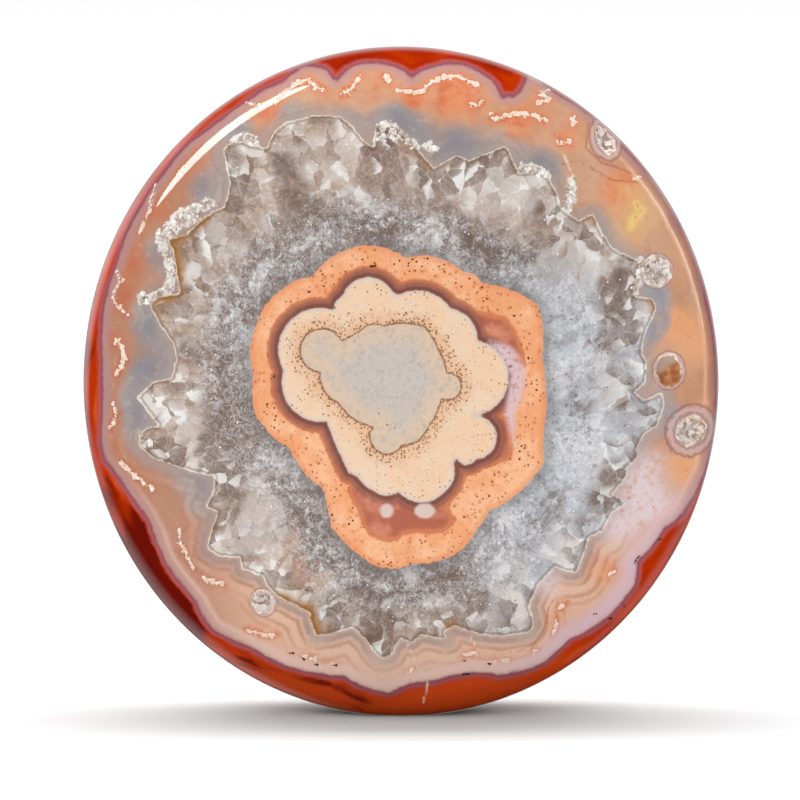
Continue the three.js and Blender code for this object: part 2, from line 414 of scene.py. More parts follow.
def traced(outline):
    """The points of a closed line through its corners, with each bulging stretch as an arc."""
    points = []
    for (x0, y0, *bulge), (x1, y1, *_) in zip(outline, outline[1:] + outline[:1]):
        points.append((x0, y0))
        if bulge:
            chord = math.hypot(x1 - x0, y1 - y0)
            half_turn = 2 * math.atan(2 * abs(bulge[0]) / chord)
            radius = chord / 2 / math.sin(half_turn)
            steps = math.ceil(2 * half_turn * radius / ARC_STEP)
            along = ((x1 - x0) / chord, (y1 - y0) / chord)
            for step in range(1, steps):
                angle = half_turn * (2 * step / steps - 1)
                forth = chord / 2 + radius * math.sin(angle)
                out = math.copysign(radius, bulge[0]) * (math.cos(angle) - math.cos(half_turn))
                right = x0 + forth * along[0] - out * along[1]
                points.append((right, y0 + forth * along[1] + out * along[0]))
    return points


def away_from(start, end):
    """The square of how far each corner of the mesh is from a straight stretch."""
    (x0, y0), (x1, y1) = start, end
    run, climb = x1 - x0, y1 - y0
    share = np.clip(((band_right - x0) * run + (band_up - y0) * climb) / (run**2 + climb**2), 0, 1)
    return (band_right - x0 - share * run) ** 2 + (band_up - y0 - share * climb) ** 2


def depth_inside(outline):
    """How far each corner of the mesh is inside a closed line, in millimetres. Outside it is below zero."""
    points = traced(outline)
    nearest = np.full(len(corners), np.inf)
    inside = np.zeros(len(corners), bool)
    for (x0, y0), (x1, y1) in zip(points, points[1:] + points[:1]):
        nearest = np.minimum(nearest, away_from((x0, y0), (x1, y1)))
        if y1 != y0:
            beside = band_right < x0 + (x1 - x0) * (band_up - y0) / (y1 - y0)
            inside ^= ((y0 > band_up) != (y1 > band_up)) & beside
    return np.where(inside, 1, -1) * np.sqrt(nearest)


def distance_from(runs):
    """How far each corner of the mesh is from the nearest of some open lines, in millimetres."""
    stretches = [stretch for run in runs for stretch in zip(run, run[1:])]
    return np.sqrt(np.minimum.reduce([away_from(*stretch) for stretch in stretches]))


def strength_of(places):
    """How strong a tint is at each corner of the mesh."""
    total = np.zeros(len(corners))
    for right, up, reach, strength in places:
        total += strength * np.exp(-((band_right - right) ** 2 + (band_up - up) ** 2) / reach**2)
    return np.minimum(total, 1)


def mark(name, values):
    """Keeps one number for each corner of the mesh, for the finish to read."""
    agate.data.attributes.new(name, "FLOAT", "POINT").data.foreach_set("value", values.astype(np.float32))


depths = {name: np.maximum.reduce([depth_inside(line) for line in lines]) for name, lines in BANDS.items()}
depths["brick"] = np.maximum(depths["brick"], depths["cream"] + MAUVE_MARGIN)
around = np.arctan2(front_up, front_right)
# nine long waves round the rim with 23 short ones on them, and the red skin lies outside its line
rim_wave = RIM_WAVE * (np.sin(9 * around) + 0.6 * np.sin(23 * around + 2)) / 1.3
depths["red"] = rim_wave * np.exp(-((level / RIM_WAVE_REACH) ** 2)) - depths["red"]
for name, depth in depths.items():
    mark(name, depth)
for name, runs in RUNS.items():
    mark(name, distance_from(runs))
for name, places in TINTED_PLACES.items():
    mark(name, strength_of(places))

# The pockets: each was left by a quartz crystal that fell out of the front face. They are six-sided and under
# a millimetre deep, and they are where the solid has them.
POCKETS = [  # right, up, width at the mouth, length for width, turn in degrees, how far its rings reach
    (34.6, -5.0, 3.4, 1.0, 15, 1.0),
    (31.9, 2.4, 2.9, 1.35, 10, 0.45),
    (30.4, 14.2, 3.2, 1.1, 40, 0.3),
    (24.4, 29.6, 1.9, 1.8, 25, 1.1),
    (-16.4, -25.2, 2.5, 1.15, 5, 0.4),
]
POCKET_DEPTH = 0.9
POCKET_FLOOR_SHARE = 0.6
POCKET_SIDES = 6
FAR_FROM_POCKETS = 9.0
FACE_SHARE = 0.999  # of the outline's radius, where the face ends and the rim begins


def dome_normal(points):
    """Outward from the whole oval, at places on its surface."""
    shares = (points - (0, 0, centre_height)) / (half_width, half_thickness, half_height)
    pull = np.maximum(np.hypot(shares[:, 0], shares[:, 2]), 1e-6) ** (DOME_POWER - 2)
    slopes = (
        pull * shares[:, 0] / half_width,
        np.sign(shares[:, 1]) * np.abs(shares[:, 1]) ** (DOME_POWER - 1) / half_thickness,
        pull * shares[:, 2] / half_height,
    )
    slope = np.stack(slopes, axis=1)
    return slope / np.linalg.norm(slope, axis=1, keepdims=True)


def front_depth(right, up):
    """How far the front face stands before the middle plane, in millimetres."""
    share = min(math.hypot(right * MM / half_width, up * MM / half_height), FACE_SHARE)
    return half_thickness / MM * (1 - share**DOME_POWER) ** (1 / DOME_POWER)


pocket = np.full(len(corners), FAR_FROM_POCKETS)  # 0 in the middle of a pocket, 1 at its mouth
rings = np.full(len(corners), FAR_FROM_POCKETS)  # 1 at the mouth, 2 where the last ring ends
for right, up, width, stretch, degrees, ringed in POCKETS:
    angle = math.radians(degrees)
    along = (front_right - right) * math.cos(angle) + (front_up - up) * math.sin(angle)
    aside = (front_up - up) * math.cos(angle) - (front_right - right) * math.sin(angle)
    reach = np.abs(level + front_depth(right, up)) / 2
    spread = np.maximum(np.hypot(along, aside / (0.5 + stretch / 2)), reach) / (width / 2)
    for side in range(POCKET_SIDES):
        facing = math.tau * (side + 0.5) / POCKET_SIDES
        reach = np.maximum(reach, along * math.cos(facing) + aside / stretch * math.sin(facing))
    pocket = np.where(level < 0, np.minimum(pocket, reach / (width / 2)), pocket)
    rings = np.where(level < 0, np.minimum(rings, 1 + (spread - 1) / ringed), rings)
mark("pocket", pocket)
mark("rings", rings)
sink = POCKET_DEPTH * MM * np.clip((1 - pocket) / (1 - POCKET_FLOOR_SHARE), 0, 1)
corners -= dome_normal(corners) * sink[:, None]
agate.data.vertices.foreach_set("co", corners.ravel())
agate.data.update()

# The finish: chalcedony, quartz and iron colours under one hard polish. The colours are the stone's own, from
# the red skin in through pale lavender, tan and blue-grey to the milky quartz and the cream and brick middle.
CLEAR_COAT = {"Roughness": 0.45, "Specular IOR Level": 0.0, "Coat Roughness": 0.03, "Coat IOR": 1.54}
BOUNCED_TINT = (190, 178, 174)  # the stone's mean colour, for the light that it throws on the table


def tint(shown):
    """A colour as a screen shows it, from 0 to 255, made linear for the finish."""
    linear = [((part / 255 + 0.055) / 1.055) ** 2.4 if part > 10 else part / 255 / 12.92 for part in shown]
    return (*linear, 1)


def fade(value, start, end):
    """0 where the value is at start, 1 where it is at end, and smooth between."""
    inputs = {0: value, 1: start, 2: end}
    return take(value.tree, "ShaderNodeMapRange", inputs, interpolation_type="SMOOTHSTEP")


def line(value, middle, half_width, softness):
    """1 along a line where the value is near middle."""
    return fade(abs(value - middle), half_width + softness, half_width)


def layered(colour, *layers):
    """A colour with others laid over it, each by its amount, and each a node's or as a screen shows it."""
    for over, amount in layers:
        under, over = (tint(tone) if isinstance(tone, tuple) else tone for tone in (colour, over))
        colour = take(amount.tree, "ShaderNodeMix", {0: amount, 6: under, 7: over}, 2, data_type="RGBA")
    return colour


def noise(spot, scale, detail=3.0, roughness=0.5, distortion=0.0, output=0):
    """Soft random tone from 0 to 1, with so many features to a millimetre."""
    inputs = {"Vector": spot, "Scale": scale, "Detail": detail}
    inputs |= {"Roughness": roughness, "Distortion": distortion}
    return take(spot.tree, "ShaderNodeTexNoise", inputs, output)


def cells(spot, scale, feature="F1"):
    """Random cells, with so many to a millimetre."""
    found = place(spot.tree, "ShaderNodeTexVoronoi", {"Vector": spot, "Scale": scale}, feature=feature)
    return {socket.name: Field(spot.tree, socket) for socket in found.outputs}


def chances(colour):
    """The three numbers that make a random colour."""
    parts = place(colour.tree, "ShaderNodeSeparateColor", {0: colour}).outputs
    return [Field(colour.tree, part) for part in parts]


def read(tree, name):
    """One of the numbers kept on the mesh."""
    return take(tree, "ShaderNodeAttribute", output="Fac", attribute_name=name)


def millimetres(tree):
    """Places in the stone, in millimetres."""
    return take(tree, "ShaderNodeTexCoord", output="Object").scaled(1 / MM)


def dots_tree():
    """Scattered round specks: 1 inside a speck."""
    number = "NodeSocketFloat"
    inputs = {"Spot": "NodeSocketVector", "Per Millimetre": number, "Size": number, "Share": number}
    tree, given = new_tree("scattered_specks", "ShaderNodeTree", inputs, {"Speck": number})
    found = cells(given["Spot"], given["Per Millimetre"])
    chance, bigger, _ = chances(found["Color"])
    size = given["Size"] * (bigger + 0.3)
    kept = chance.sum("LESS_THAN", given["Share"])
    place(tree, "NodeGroupOutput", {0: fade(found["Distance"], size, size * 0.6) * kept})
    return tree


def quartz_tree():
    """What shows inside milky quartz: crystals with a painted lit side and a painted shaded side, veils,
    cracks and grain.
    """
    names = ("Crystal", "Facet", "Sugar", "Veil", "Ray", "Healed", "Seam", "Grain")
    spots = dict.fromkeys(("Spot", "Stretched Spot"), "NodeSocketVector")
    numbers = dict.fromkeys(names, "NodeSocketFloat")
    tree, given = new_tree("quartz_depths", "ShaderNodeTree", spots, numbers)
    spot = given["Spot"]
    stretched = given["Stretched Spot"]
    half = (0.5, 0.5, 0.5)
    shift = noise(spot, 0.4, output=1).vector("SUBTRACT", half).scaled(0.45)
    bent = stretched.vector("ADD", shift)

    def crystals_with_painted_shade(where, scale, strength):
        """Each crystal has its own tone, with painted light and shade: lighter on a side of its own, darker
        on the other.
        """
        found = cells(where, scale)
        facing = found["Color"].vector("SUBTRACT", half)
        slope = where.vector("SUBTRACT", found["Position"]).vector("DOT_PRODUCT", facing, output="Value")
        return chances(found["Color"])[0] + slope * strength

    thread = abs(noise(spot, 0.5, 6.0, 0.68, 1.4) - 0.5)
    fibre = abs(noise(spot, 1.0, 4.0, 0.7, 2.2) - 0.52)
    reach = stretched.vector("LENGTH", output="Value")
    spokes = stretched.vector("NORMALIZE").scaled(reach * 1.6 + 16.0)
    results = (
        crystals_with_painted_shade(bent, 0.9, 2.2),
        crystals_with_painted_shade(bent, 2.5, 5.0),
        crystals_with_painted_shade(spot, 1.9, 2.2),
        noise(spot, 0.17, 6.0, 0.62, 0.6),
        noise(spokes, 1.0, 5.0, 0.65, 0.6),
        fade(thread, 0.016, 0.0).at_least(fade(fibre, 0.022, 0.0)),
        fade(cells(bent, 2.5, "DISTANCE_TO_EDGE")["Distance"], 0.05, 0.0),
        noise(spot, 2.4, 4.0, 0.75),
    )
    place(tree, "NodeGroupOutput", dict(enumerate(results)))
    return tree


specks = dots_tree()
quartz_depths = quartz_tree()


def speck(spot, per_millimetre, size, share):
    """Specks of one size, kept in a share of the places where one could be."""
    inputs = {"Spot": spot, "Per Millimetre": per_millimetre, "Size": size, "Share": share}
    return take(spot.tree, "ShaderNodeGroup", inputs, node_tree=specks)


def skin_colour(spot, red):
    """The red skin: clear carnelian with broad darker flows along the rim."""
    right, depth, height = spot.split()
    flow = joined(depth * 0.12 + red * 0.4, height * 0.12, right * 0.12)
    streaks = noise(flow, 0.7, 3.0, 0.5, 0.6)
    dark = streaks + read(spot.tree, "dark_skin") * 0.3
    return layered(
        (196, 54, 3),
        ((172, 40, 5), fade(streaks, 0.45, 0.6)),
        ((218, 88, 34), fade(streaks, 0.42, 0.28)),
        ((226, 88, 38), fade(height, 12.0, 3.0) * 0.6),  # paler near the foot
        ((104, 15, 7), fade(dark, 0.62, 0.8) * 0.95),
    )


def chalcedony_colour(spot, outward, inward):
    """Between the quartz and the red skin: blue-grey next to the crystals, then tan, then pale lavender."""
    slow = noise(spot, 0.12, 3.0, 0.5, 0.4)
    cloud = noise(spot, 0.3, 4.0, 0.55, 0.3)
    haze = noise(spot, 1.1, 3.0, 0.6)
    right, _, height = spot.split()
    low = fade(height, 34.0, 16.0)
    left = fade(right, -14.0, -28.0)
    names = ("warm", "cool", "blush", "flakes", "crust", "yellow", "fine_line")
    warm, cool, blush, flakes, crust, yellow, fine_line = (read(spot.tree, name) for name in names)
    colour = layered(
        (208, 152, 116),
        ((216, 168, 138), fade(slow, 0.35, 0.65)),
        ((192, 142, 120), fade(cloud, 0.5, 0.75) * 0.5),
        # painted light: paler towards the bottom, filling the shade where the face turns down
        ((236, 192, 166), low * 0.8),
        ((172, 118, 98), left * 0.6),
    )
    hot = layered(
        (232, 152, 110),
        ((218, 124, 86), fade(cloud, 0.4, 0.62)),
        ((242, 182, 134), fade(right, 24.0, 32.0) * 0.8),
        ((188, 112, 84), left * 0.8),
    )
    ripple = ((outward + cloud * 5.0) * 4.0).sum("SINE")
    grey = layered(
        (170, 160, 158),
        ((142, 143, 150), fade(cool, 0.3, 1.0)),
        ((174, 170, 178), fade(right, 22.0, 29.0) * 0.6),
        ((192, 180, 170), fade(cloud, 0.52, 0.7) * 0.6),
        ((160, 136, 124), fade(ripple, 0.3, 1.0) * 0.35),
    )
    halo = outward / (cool * 3.6 + 1.5) + (slow - 0.5)
    greyness = fade(halo, 1.2, 0.35) * fade(cool, -0.7, 0.5)
    warmth = fade(warm + cloud * 0.5, 0.4, 1.1) * fade(greyness, 1.2, 0.4)
    colour = layered(colour, (grey, greyness), (hot, warmth))
    for middle, half_width, tone, amount in (
        (0.55, 0.12, (158, 132, 122), 0.49),
        (1.5, 0.08, (170, 122, 96), 0.525),
        (2.1, 0.2, (232, 200, 178), 0.42),
        (2.9, 0.06, (176, 124, 98), 0.42),
        (3.8, 0.1, (190, 136, 108), 0.315),
    ):
        band = line(outward, middle, half_width, 0.3) * fade(cloud, 0.32, 0.55)
        colour = layered(colour, (tone, band * ((low * 0.85 + 0.15) * amount)))
    crumb = noise(spot, 1.4, 2.0) - 0.5
    flakes = flakes + crumb * 1.7
    crust = fade(crust + crumb * 1.6, 0.75, 0.5)
    blush = blush * fade(haze, 0.2, 0.55)
    skin_glow = line(inward, 1.5, 0.05, 0.35) * fade(right, 20.0, 30.0)
    return layered(
        colour,
        ((232, 212, 216), blush),
        ((214, 128, 112), speck(spot, 1.0, 0.24, blush) * 0.6),
        # the flakes' glow, edge and white, then the crusts
        (
            layered((228, 138, 98), ((196, 124, 96), left)),
            fade(flakes, 1.3, 0.15) * fade(cloud, 0.3, 0.5) * 0.6,
        ),
        (layered((206, 96, 50), ((178, 98, 66), left)), line(flakes, 0.32, 0.02, 0.12) * 0.5),
        ((248, 226, 208), fade(flakes, 0.26, 0.14)),
        (layered((240, 234, 228), ((184, 162, 144), fade(haze, 0.5, 0.62))), crust),
        ((238, 188, 132), fade(yellow + cloud * 2.0, 5.0, 1.5) * 0.6),
        ((246, 210, 136), fade(yellow + cloud * 1.2, 1.5, 0.7) * 0.85),
        ((184, 104, 78), fade(fine_line + cloud * 0.3, 0.34, 0.2) * 0.6),
        ((190, 140, 132), fade(haze, 0.56, 0.8) * 0.35),
        ((240, 202, 178), fade(haze, 0.44, 0.2) * 0.3),
        # the pale bands under the skin
        ((244, 192, 160), skin_glow * 0.7),
        (
            layered((194, 150, 148), ((172, 120, 116), fade(right, 24.0, 34.0))),
            fade(inward, 1.5, 0.5) * fade(inward, -0.3, 0.2) * 0.75,
        ),
        (
            layered((238, 202, 188), ((230, 200, 208), fade(right, 6.0, 18.0))),
            line(inward, 1.0, 0.2, 0.7) * (low * 0.85),
        ),
        ((222, 188, 194), fade(inward, 3.0, 1.6) * fade(right, 14.0, 22.0) * (low * 0.7)),
        ((246, 212, 196), fade(height, 12.0, 4.0) * 0.5),
        ((180, 132, 116), low * left * 0.4),
        ((180, 136, 130), line(inward, 0.7, 0.15, 0.4) * left * 0.6),
    )


def rim_bands(colour, spot, red):
    """The thin mauve and pink bands under the red skin, and the skin itself."""
    return layered(
        colour,
        ((168, 110, 120), fade(red, -0.5, -0.02)),
        ((158, 88, 96), line(red, 0.0, 0.08, 0.2)),
        ((192, 80, 70), fade(red, 0.1, 0.35)),
        (skin_colour(spot, red), fade(red, 0.28, 0.7)),
    )


def quartz_colour(spot, inside, from_island):
    """The ring of milky quartz, beige outside, sugary grey towards the middle and bluish on one side."""
    tree = spot.tree
    centred = spot.vector("SUBTRACT", (0, 0, centre_height / MM))
    reach = centred.vector("LENGTH", output="Value")
    stretched = centred.vector("NORMALIZE").scaled(reach.sum("SQRT") * 1.25)
    inputs = {"Spot": spot, "Stretched Spot": stretched}
    parts = place(tree, "ShaderNodeGroup", inputs, node_tree=quartz_depths).outputs
    crystal, facet, sugar, veil, ray, healed, seam, grain = (Field(tree, part) for part in parts)
    right, _, height = spot.split()
    outer = fade(from_island, 3.0, 8.5)
    inner = fade(outer, 1.0, 0.2)
    bluish = fade(right, 4.0, 16.0) * fade(height, 62.0, 46.0)
    sugary = (inner * 0.75 + 0.25) * fade(veil, 0.34, 0.6)
    depth = outer * (fade(inside, 6.0, 1.5) * 0.65 + 0.35)
    edged = facet * 0.4 - 0.2
    return layered(
        (131, 115, 108),
        ((192, 165, 147), outer),
        ((184, 188, 196), bluish * 0.9),
        # veils, and rays from the middle
        ((232, 229, 229), fade(veil, 0.5, 0.68) * 0.75),
        ((118, 96, 84), fade(veil, 0.48, 0.33) * 0.7),
        ((230, 229, 231), fade(ray, 0.52, 0.68) * (inner * 0.35 + 0.35)),
        ((112, 100, 95), fade(ray, 0.46, 0.3) * (inner * 0.3 + 0.4)),
        # each crystal's painted lit side and painted shaded side, the small ones in the middle first
        ((238, 238, 241), fade(sugar, 0.55, 1.1) * (sugary * 0.6)),
        ((98, 90, 90), fade(sugar, 0.42, -0.15) * (inner * 0.45)),
        ((230, 221, 213), fade(crystal, 0.5, 1.2) * (depth * 0.85)),
        ((130, 104, 88), fade(crystal, 0.42, -0.25) * (depth * 0.75)),
        ((240, 236, 232), fade(facet, 0.6, 1.2) * (depth * 0.7)),
        ((114, 92, 78), fade(facet, 0.42, -0.2) * (depth * 0.55)),
        # paler, smoky and amber crystals
        (
            layered((226, 220, 216), ((206, 211, 220), bluish)),
            fade(read(tree, "pale") + edged, 0.3, 0.75) * 0.45,
        ),
        ((124, 104, 92), fade(read(tree, "smoky") + edged, 0.3, 0.7) * 0.85),
        ((184, 142, 118), fade(read(tree, "amber") + edged, 0.25, 0.7) * 0.65),
        # healed cracks, seams between crystals, grain, pricks, and painted glints and painted highlights on
        # the brightest facets
        ((246, 244, 243), healed * (inner * 0.45 + 0.25) * fade(veil, 0.3, 0.5)),
        ((240, 232, 222), seam * (fade(veil, 0.42, 0.6) * outer * 0.35)),
        ((242, 241, 242), fade(grain, 0.56, 0.72) * 0.45),
        ((104, 95, 92), fade(grain, 0.44, 0.27) * 0.4),
        ((84, 76, 74), speck(spot, 1.4, 0.17, bluish * 0.45) * 0.75),
        ((250, 249, 248), fade(facet, 0.82, 0.96) * fade(veil, 0.45, 0.6) * (outer * 0.75)),
        ((255, 255, 255), speck(spot, 2.0, 0.2, inner * 0.15 + 0.1)),
        # painted shade in the quartz round the middle, rust, and the ring's own edge
        ((122, 117, 117), fade(from_island, 2.2, 0.0) * 0.5),
        ((178, 122, 60), fade(inside, 1.5, 0.3) * read(tree, "rust") * 0.95),
        ((112, 88, 70), line(inside, 0.34, 0.05, 0.16) * 0.45),
        ((240, 224, 204), line(inside, 0.05, 0.02, 0.09) * fade(grain, 0.3, 0.55)),
    )


def middle_colour(spot, island, brick, cream, heart):
    """The middle: speckled peach, then brick and mauve, then cream round a grey heart."""
    cloud = noise(spot, 0.3, 4.0, 0.6)
    fine = noise(spot, 1.6, 3.0, 0.6)
    sand = noise(spot, 5.0, 2.0, 0.7)
    peach = layered(
        (249, 173, 125),
        ((254, 196, 154), fade(cloud, 0.38, 0.62)),
        ((240, 152, 103), fade(fine, 0.5, 0.75) * 0.55),
        ((255, 212, 176), fade(sand, 0.55, 0.75) * 0.5),
        ((238, 152, 104), fade(island, 0.9, 0.2) * 0.55),
        ((220, 120, 72), speck(spot, 1.3, 0.34, 0.6) * 0.5),
        ((150, 74, 46), speck(spot, 2.2, 0.3, 0.5) * 0.75),
        ((76, 36, 26), speck(spot, 1.5, 0.2, 0.8)),
    )
    brick_tone = layered(
        (188, 108, 86),
        ((222, 146, 120), fade(cloud, 0.4, 0.65)),
        ((220, 132, 92), fade(brick, 0.8, 0.1)),
    )
    lilac = fade(read(spot.tree, "lilac"), -0.5, 0.5) * fade(fine, 0.3, 0.5)
    near_heart = fade(heart + fine * 1.6, -1.4, 0.7)
    cream_tone = layered(
        (247, 210, 176),
        ((244, 216, 190), fade(cloud, 0.4, 0.6)),
        ((236, 190, 150), fade(fine, 0.5, 0.75) * 0.45),
        ((255, 232, 206), fade(sand, 0.52, 0.7) * 0.5),
        ((216, 204, 200), fade(cream, 0.55, 0.0) * 0.75),
        ((120, 78, 52), speck(spot, 2.0, 0.24, 0.6) * 0.75),
        ((226, 172, 128), near_heart * 0.5),
        ((142, 86, 52), speck(spot, 3.4, 0.5, near_heart * 0.9) * 0.8),
        ((128, 62, 36), speck(spot, 1.6, 0.26, fade(heart, -3.4, -0.6) * 0.7) * 0.8),
    )
    heart_tone = layered(
        (226, 200, 176),
        ((208, 198, 190), fade(heart, 0.6, 3.4)),
        ((184, 174, 168), fade(fine, 0.48, 0.7) * 0.6),
        ((236, 226, 216), fade(sand, 0.54, 0.7) * 0.4),
        ((140, 136, 142), speck(spot, 2.0, 0.2, fade(heart, 1.0, 3.0) * 0.5) * 0.5),
        ((96, 66, 48), speck(spot, 1.1, 0.13, 0.2) * 0.8),
    )
    return layered(
        peach,
        (brick_tone, fade(brick, -0.4, 0.4)),
        ((186, 98, 66), line(brick, 0.05, 0.03, 0.2) * 0.4),
        ((122, 76, 68), fade(cream, -1.5, -0.3) * 0.85),
        ((166, 118, 108), line(cream, -0.65, 0.05, 0.18) * 0.5),
        ((226, 204, 194), fade(read(spot.tree, "bead") + fine * 0.3, 0.0, 0.45)),
        ((228, 198, 202), lilac),
        ((150, 110, 116), speck(spot, 2.2, 0.2, lilac) * 0.5),
        (cream_tone, fade(cream, -0.12, 0.12)),
        (heart_tone, fade(heart, -0.08, 0.1)),
        ((134, 88, 58), line(heart + sand * 0.4, 0.12, 0.04, 0.14) * fade(sand, 0.3, 0.5) * 0.85),
    )


def pocket_colour(colour, spot, outside, waver):
    """Crystal linings in the pockets, one of them honey brown, and the fine rings that grew round them."""
    rings = read(spot.tree, "rings") + waver * 0.5
    right, _, height = spot.split()
    grain = noise(spot, 1.2, 3.0)
    pocket = read(spot.tree, "pocket") + (grain - 0.5) * 0.35
    hollow = fade(pocket, 1.05, 0.98)
    lining = layered(
        (244, 236, 230),
        ((168, 140, 124), fade(chances(cells(spot, 0.85)["Color"])[0], 0.35, 0.85)),
        ((250, 244, 240), fade(grain, 0.5, 0.62) * 0.7),
    )
    honey = layered(
        (168, 104, 64),
        ((206, 146, 104), fade(grain, 0.35, 0.65)),
        ((190, 166, 150), fade(height + right * -0.6, 23.0, 24.2) * 0.85),
    )
    brown = line(height, 42.0, 1.8, 0.5) * fade(right, 28.0, 30.0)  # only the second pocket
    colour = layered(
        colour,
        ((206, 176, 172), fade(rings, 2.2, 1.3) * outside * 0.75),
        ((166, 128, 130), line(rings, 1.22, 0.03, 0.12) * outside * 0.6),
        ((222, 190, 184), line(rings, 1.5, 0.03, 0.12) * outside * 0.6),
        ((150, 100, 100), line(rings, 1.85, 0.03, 0.12) * outside * 0.6),
        (layered(lining, (honey, brown)), hollow),
        ((246, 232, 218), line(pocket, 1.0, 0.02, 0.06) * fade(noise(spot, 0.8, 2.0), 0.4, 0.6)),
    )
    return colour, hollow


def agate_finish(name, bands):
    """The finish of the bands that are named, under the polish."""
    material = bpy.data.materials.new(name)
    material.use_nodes = True
    tree = material.node_tree
    tree.nodes.clear()
    spot = millimetres(tree)
    fine = noise(spot, 1.6, 3.0) - 0.5
    quartz = read(tree, "quartz") + fine * 0.5
    island = read(tree, "island") + fine * 0.5
    polish = 1.0
    if "outside" in bands:
        broad = noise(spot, 0.35, 3.0) - 0.5
        red = read(tree, "red") + (broad * 0.7 + fine * 0.35)
        colour = rim_bands(chalcedony_colour(spot, -quartz, -red), spot, red)
    if "quartz" in bands:
        crystals = quartz_colour(spot, quartz, -island)
        colour = layered(colour, (crystals, fade(quartz, -0.06, 0.06))) if "outside" in bands else crystals
    if "middle" in bands:
        brick = read(tree, "brick") + fine * 0.5
        cream = read(tree, "cream") + fine * 0.3
        heart = read(tree, "heart") + fine * 0.4
        middle = middle_colour(spot, island, brick, cream, heart)
        colour = layered(colour, (middle, fade(island, -0.08, 0.08))) if "quartz" in bands else middle
    if "outside" in bands:
        colour, hollow = pocket_colour(colour, spot, fade(quartz, 0.05, -0.15), fine)
        crack = fade(read(tree, "crack") + fine * 0.3, 0.24, 0.08)
        colour = layered(colour, ((240, 216, 194), crack * 0.7))
        polish = 1 - hollow
    inputs = CLEAR_COAT | {"Base Color": colour, "Coat Weight": polish}
    shader = take(tree, "ShaderNodeBsdfPrincipled", inputs)
    bounced = take(tree, "ShaderNodeBsdfDiffuse", {"Color": tint(BOUNCED_TINT)})
    seen = take(tree, "ShaderNodeLightPath", output="Is Diffuse Ray")
    surface = take(tree, "ShaderNodeMixShader", {0: seen, 1: shader, 2: bounced})
    place(tree, "ShaderNodeOutputMaterial", {"Surface": surface})
    return material


BAND_MARGIN = 0.7  # how near a band's edge a face carries the finish of both sides
RINGS_MARGIN = 2.3  # how near a pocket's rings a face carries the whole finish
agate.data.materials.clear()
for name, bands in (
    ("polished_agate", {"outside", "quartz", "middle"}),
    ("polished_agate_outside", {"outside"}),
    ("polished_agate_quartz", {"quartz"}),
    ("polished_agate_middle", {"middle"}),
):
    agate.data.materials.append(agate_finish(name, bands))
starts = np.empty(len(agate.data.polygons), np.int32)
agate.data.polygons.foreach_get("loop_start", starts)
loops = np.empty(len(agate.data.loops), np.int32)
agate.data.loops.foreach_get("vertex_index", loops)


def least_on_faces(values):
    """The least of a number over each face's corners."""
    return np.minimum.reduceat(values[loops], starts)


slots = np.zeros(len(starts), np.int32)
slots[least_on_faces(-depths["quartz"]) > BAND_MARGIN] = 1
slots[least_on_faces(np.minimum(depths["quartz"], -depths["island"])) > BAND_MARGIN] = 2
slots[least_on_faces(depths["island"]) > BAND_MARGIN] = 3
slots[(least_on_faces(rings) < RINGS_MARGIN) & (slots != 1)] = 0
agate.data.polygons.foreach_set("material_index", slots)
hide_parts("agate_stone")
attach(agate, "root")

# Small crystals and flakes: chips of white quartz and calcite that grew along a band, and druses in the gaps,
# each turned its own way and set into the surface.
SUNK_SHARE = 0.1  # of the smallest chip, below the surface
SETTLING_STEPS = 6  # to find the height of a place from how high it is seen


